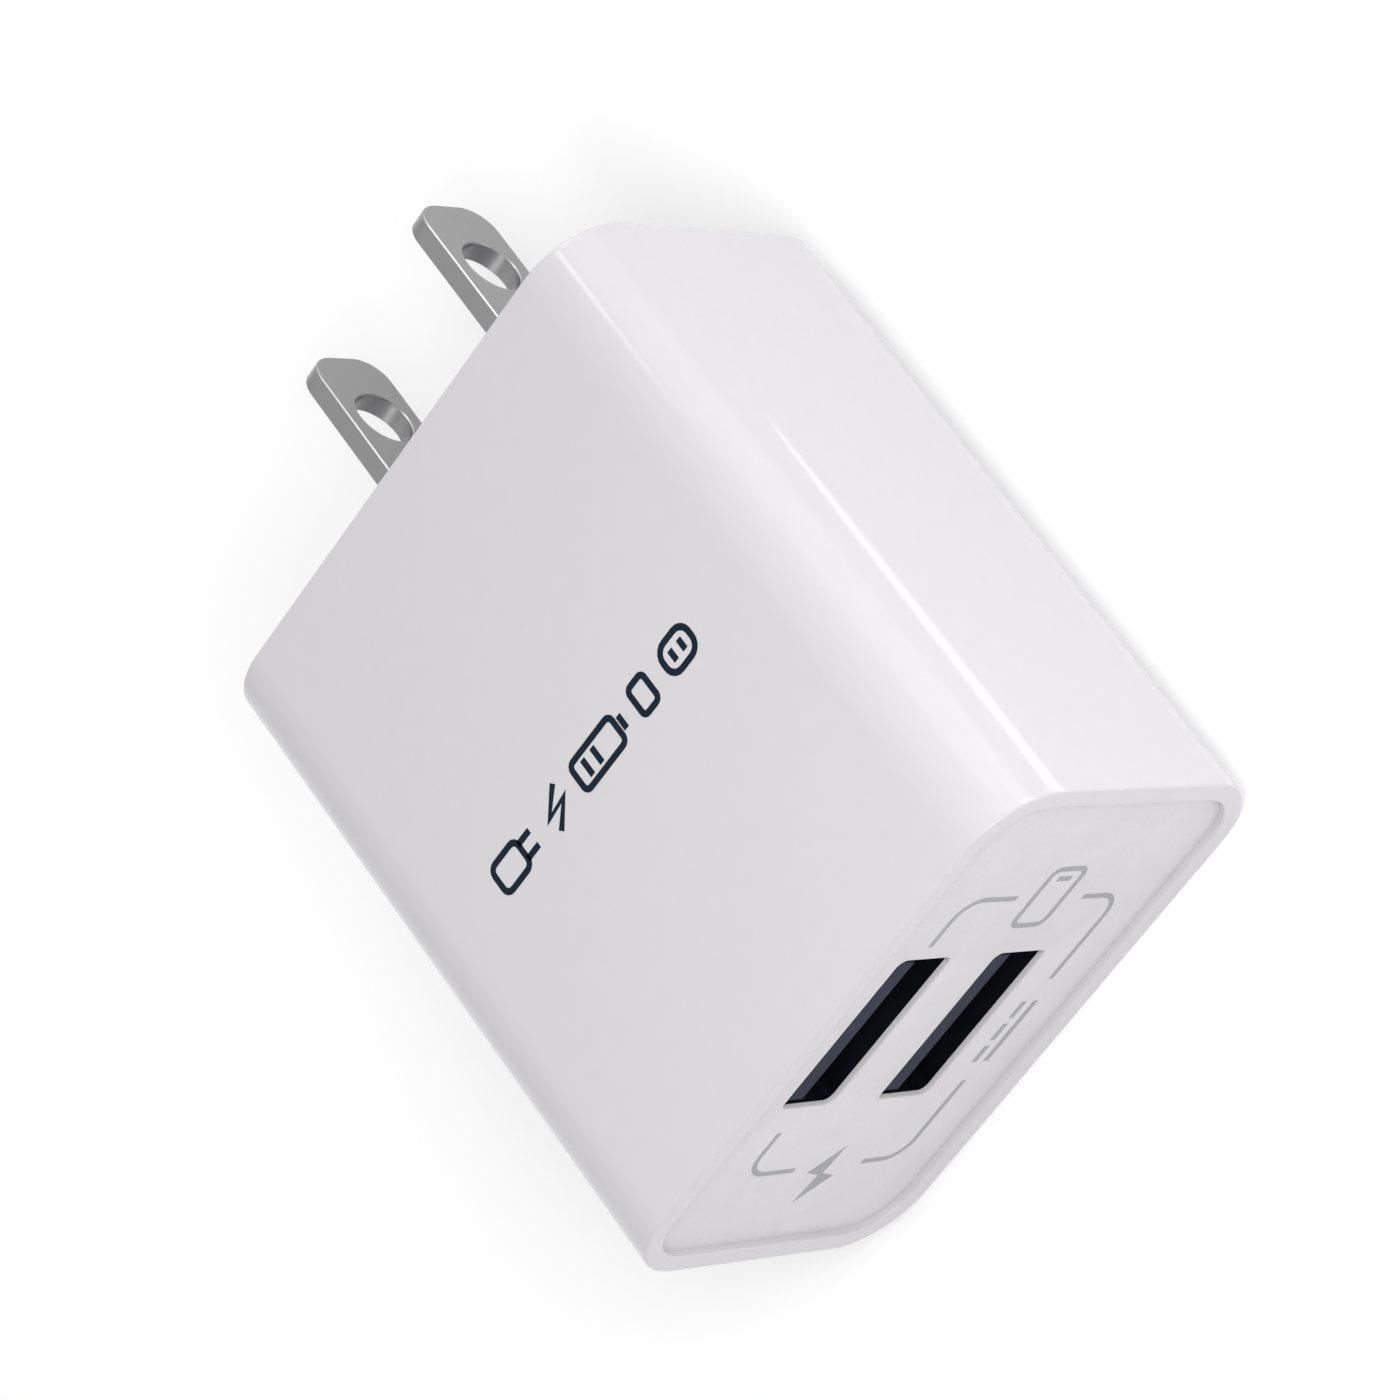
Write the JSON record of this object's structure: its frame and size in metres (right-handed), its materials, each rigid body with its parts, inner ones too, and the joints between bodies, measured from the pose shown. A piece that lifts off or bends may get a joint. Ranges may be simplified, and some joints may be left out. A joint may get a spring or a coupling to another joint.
{
  "type": "usb wall charger",
  "caption": "Box-shaped white USB wall charger with fixed flat mains blades at one end and USB-A sockets in a recessed panel at the other.",
  "frame": {"origin": "centre of the face that meets the wall outlet, midway between the blades", "axes": "+Y points into the wall along the blades, +Z is the normal of the wide face with the printed mark, +X completes the frame; the USB sockets open towards -Y; the part lies on a table on its -Z face"},
  "size_m": [0.0402, 0.0614, 0.0242],
  "materials": {
    "casing": "white, satin, smooth",
    "panel": "white, fine matt texture",
    "carrier": "white, matt",
    "blade": "nickel-plated, satin grey",
    "spring_bronze": "phosphor bronze, bare",
    "board": "glass-epoxy board, green solder resist",
    "tinned_pin": "tin-plated",
    "film": "pale yellow insulating film",
    "capacitor_can": "bare, drawn",
    "capacitor_sleeve": "dark printed shrink sleeve",
    "capacitor_seal": "black rubber with tinned leads",
    "ferrite": "dark grey ferrite, matt",
    "copper_wire": "enamelled copper",
    "bobbin_plastic": "black moulded plastic",
    "yellow_tape": "yellow polyester tape",
    "resistor_coat": "grey-blue lacquer",
    "blue_ceramic": "blue epoxy dip",
    "chip_epoxy": "black moulded epoxy",
    "socket_metal": "dark plated steel",
    "socket_plastic": "slate plastic",
    "gold_contact": "gold-plated"
  },
  "bodies": {
    "root": {"outer_shell": "casing", "port_panel": "panel", "blade_carrier": "carrier", "blade_left": "blade", "blade_right": "blade", "contact_spring_left": "spring_bronze", "contact_spring_right": "spring_bronze", "main_board": "board", "port_board": "board", "link_pin_1": "tinned_pin", "link_pin_2": "tinned_pin", "link_pin_3": "tinned_pin", "link_pin_4": "tinned_pin", "insulation_sheet": "film", "input_capacitor_1_can": "capacitor_can", "input_capacitor_1_sleeve": "capacitor_sleeve", "input_capacitor_1_seal": "capacitor_seal", "input_capacitor_2_can": "capacitor_can", "input_capacitor_2_sleeve": "capacitor_sleeve", "input_capacitor_2_seal": "capacitor_seal", "output_capacitor_1_can": "capacitor_can", "output_capacitor_1_sleeve": "capacitor_sleeve", "output_capacitor_1_seal": "capacitor_seal", "output_capacitor_2_can": "capacitor_can", "output_capacitor_2_sleeve": "capacitor_sleeve", "output_capacitor_2_seal": "capacitor_seal", "filter_choke_core": "ferrite", "filter_choke_winding": "copper_wire", "transformer_core_lower": "ferrite", "transformer_core_upper": "ferrite", "transformer_bobbin": "bobbin_plastic", "transformer_winding": "yellow_tape", "transformer_tape": "yellow_tape", "fusible_resistor": "resistor_coat", "y_capacitor": "blue_ceramic", "bridge_rectifier": "chip_epoxy", "optocoupler": "chip_epoxy", "controller_chip": "chip_epoxy", "output_rectifier": "chip_epoxy", "charge_port_chip": "chip_epoxy", "usb_upper_shell": "socket_metal", "usb_upper_tongue": "socket_plastic", "usb_upper_contact_1": "gold_contact", "usb_upper_contact_2": "gold_contact", "usb_upper_contact_3": "gold_contact", "usb_upper_contact_4": "gold_contact", "usb_lower_shell": "socket_metal", "usb_lower_tongue": "socket_plastic", "usb_lower_contact_1": "gold_contact", "usb_lower_contact_2": "gold_contact", "usb_lower_contact_3": "gold_contact", "usb_lower_contact_4": "gold_contact"}
  },
  "joints": []
}
